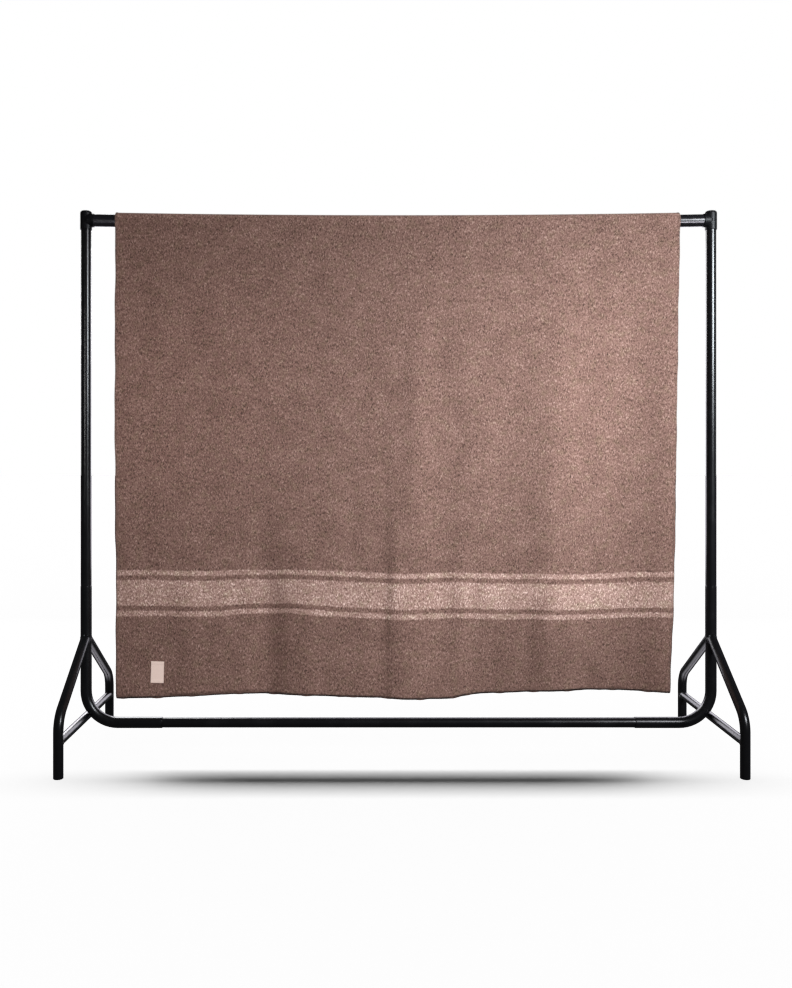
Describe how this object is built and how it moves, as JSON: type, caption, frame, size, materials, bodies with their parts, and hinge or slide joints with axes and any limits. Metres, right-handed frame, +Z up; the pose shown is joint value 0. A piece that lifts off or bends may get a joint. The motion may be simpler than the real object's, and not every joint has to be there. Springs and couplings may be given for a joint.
{
  "type": "wool blanket on a garment rail",
  "caption": "Brown wool blanket with a pale stripe band near its hem, draped over the top rail of a free-standing black steel garment rail on splayed legs.",
  "frame": {"origin": "on the floor, midway between the four feet", "axes": "+X along the rail to the viewer's right, +Y away from the viewer who faces the blanket's long drop, +Z up"},
  "size_m": [1.8332, 0.515, 1.5495],
  "materials": {
    "blanket_wool": "fulled brown wool, heathered, with a pale stripe band",
    "label_cloth": "pale woven tape, bare",
    "rail_steel": "black satin powder coat",
    "corner_plastic": "black moulded plastic"
  },
  "bodies": {
    "root": {"blanket": "blanket_wool", "label": "label_cloth", "top_rail": "rail_steel", "bottom_rail": "rail_steel", "corner_left": "corner_plastic", "corner_right": "corner_plastic", "upright_left": "rail_steel", "upright_right": "rail_steel", "base_left": "rail_steel", "base_right": "rail_steel", "crossbar_left": "rail_steel", "crossbar_right": "rail_steel", "leg_front_left": "rail_steel", "leg_rear_left": "rail_steel", "leg_front_right": "rail_steel", "leg_rear_right": "rail_steel"}
  },
  "joints": []
}
